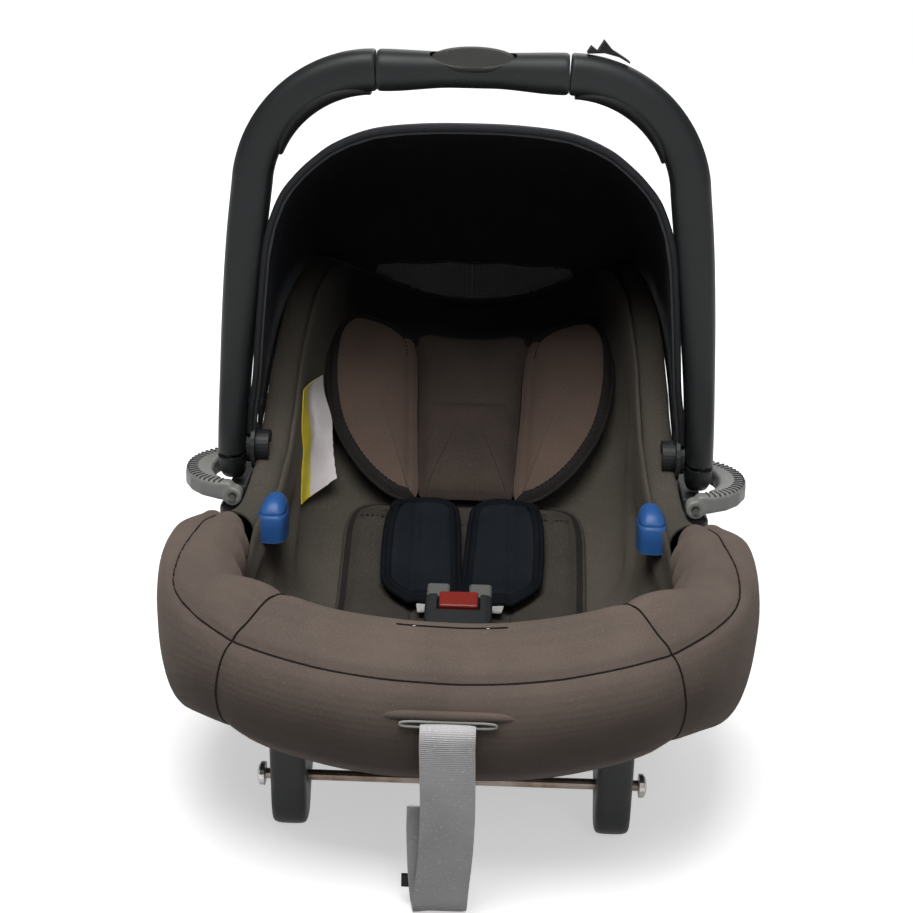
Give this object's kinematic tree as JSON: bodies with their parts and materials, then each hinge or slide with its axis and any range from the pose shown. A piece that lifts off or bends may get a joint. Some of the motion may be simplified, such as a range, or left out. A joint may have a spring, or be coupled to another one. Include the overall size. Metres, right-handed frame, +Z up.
{
  "type": "infant car seat",
  "caption": "Rear-facing infant carrier seat: moulded shell on stand rails, padded cover, harness, adjustable headrest, folding hood and a swinging carry handle.",
  "frame": {"origin": "middle of the bounding box, on the surface the stand rails rest on", "axes": "+Z up, -Y towards the child's feet (the viewer's side), +Y towards the head end, +X to the viewer's right"},
  "size_m": [0.484, 0.6251, 0.5624],
  "materials": {
    "black_plastic": "fine moulded grain",
    "handle_plastic": "fine moulded grain",
    "soft_grip": "satin",
    "brown_fabric": "woven polyester",
    "dark_brown_fabric": "woven polyester",
    "hood_fabric": "woven polyester",
    "pad_fabric": "neoprene with bound edge",
    "webbing": "woven webbing",
    "grey_plastic": "satin",
    "blue_plastic": "moulded",
    "red_plastic": "moulded",
    "steel": "dull",
    "foam": "moulded bead foam",
    "label_fabric": "blank woven tab",
    "vent_mesh": "mesh"
  },
  "bodies": {
    "seat": {"adapter_housing_left": "black_plastic", "adapter_housing_right": "black_plastic", "adjuster_housing": "black_plastic", "adjuster_strap": "webbing", "belt_guide_left": "blue_plastic", "belt_guide_right": "blue_plastic", "buckle_tongue_left": "black_plastic", "buckle_tongue_right": "black_plastic", "canopy_fabric": "hood_fabric", "crotch_strap": "webbing", "foam_liner": "foam", "front_bar_cap_left": "steel", "front_bar_cap_right": "steel", "front_cover": "brown_fabric", "front_latch_bar": "steel", "handle_hub_left": "black_plastic", "handle_hub_right": "black_plastic", "handle_pin_left": "steel", "handle_pin_right": "steel", "harness_buckle": "black_plastic", "lever_pin_left": "steel", "lever_pin_right": "steel", "newborn_insert": "dark_brown_fabric", "rear_bar_cap_left": "steel", "rear_bar_cap_right": "steel", "rear_belt_guide": "blue_plastic", "rear_latch_bar": "steel", "seat_lining": "dark_brown_fabric", "seat_shell": "black_plastic", "shoulder_pad_left": "pad_fabric", "shoulder_pad_right": "pad_fabric", "shoulder_strap_left": "webbing", "shoulder_strap_right": "webbing", "side_label": "label_fabric", "stand_rail_left": "black_plastic", "stand_rail_right": "black_plastic", "strap_bezel": "grey_plastic", "strap_end_tab": "soft_grip", "vent_window": "vent_mesh"},
    "handle": {"handle_arm_left": "handle_plastic", "handle_arm_right": "handle_plastic", "handle_grip": "handle_plastic", "grip_badge": "soft_grip", "grip_inlay_left": "soft_grip", "grip_inlay_right": "soft_grip"},
    "handle_slider": {"handle_release": "soft_grip"},
    "hood_bow": {"canopy_bow": "black_plastic"},
    "headrest": {"headrest_board": "black_plastic", "headrest_center": "brown_fabric", "headrest_wing_left": "brown_fabric", "headrest_wing_right": "brown_fabric"},
    "lever_left": {"release_lever_left": "grey_plastic"},
    "lever_right": {"release_lever_right": "grey_plastic"},
    "latch_left": {"latch_bolt_left": "red_plastic"},
    "latch_right": {"latch_bolt_right": "red_plastic"},
    "buckle_press": {"buckle_button": "red_plastic"},
    "adjuster_press": {"adjuster_button": "grey_plastic"}
  },
  "joints": [
    {"name": "handle_swing", "type": "hinge", "parent": "seat", "child": "handle", "pos_m": [0, 0.0358, 0.222], "axis": [1, 0, 0], "range_deg": [-90, 0]},
    {"name": "canopy_fold", "type": "hinge", "parent": "seat", "child": "hood_bow", "pos_m": [0, 0.0358, 0.222], "axis": [1, 0, 0], "range_deg": [-50, 0], "deforming": ["canopy_fabric"]},
    {"name": "headrest_height", "type": "slide", "parent": "seat", "child": "headrest", "axis": [0, 0.5, 0.866], "range_m": [0, 0.02]},
    {"name": "handle_release_slide", "type": "slide", "parent": "handle", "child": "handle_slider", "axis": [-0.9563, 0, 0.2924], "range_m": [0, 0.004], "stiffness_N_per_m": 800},
    {"name": "lever_lift_left", "type": "hinge", "parent": "seat", "child": "lever_left", "pos_m": [-0.194, 0.0528, 0.187], "axis": [0, 1, 0], "range_deg": [0, 13], "stiffness_Nm_per_rad": 0.6},
    {"name": "latch_draw_left", "type": "slide", "parent": "seat", "child": "latch_left", "axis": [-1, 0, 0], "range_m": [0, 0.004]},
    {"name": "lever_lift_right", "type": "hinge", "parent": "seat", "child": "lever_right", "pos_m": [0.194, 0.0528, 0.187], "axis": [0, -1, 0], "range_deg": [0, 13], "stiffness_Nm_per_rad": 0.6},
    {"name": "latch_draw_right", "type": "slide", "parent": "seat", "child": "latch_right", "axis": [1, 0, 0], "range_m": [0, 0.004]},
    {"name": "buckle_press", "type": "slide", "parent": "seat", "child": "buckle_press", "axis": [0, 0.2419, -0.9703], "range_m": [0, 0.003], "stiffness_N_per_m": 1500},
    {"name": "adjuster_press", "type": "slide", "parent": "seat", "child": "adjuster_press", "axis": [0, 0, -1], "range_m": [0, 0.003], "stiffness_N_per_m": 1500}
  ],
  "couplings": [
    {"joint": "latch_draw_left", "follows": "lever_lift_left", "m_per_rad": 0.017612},
    {"joint": "latch_draw_right", "follows": "lever_lift_right", "m_per_rad": 0.017612}
  ]
}
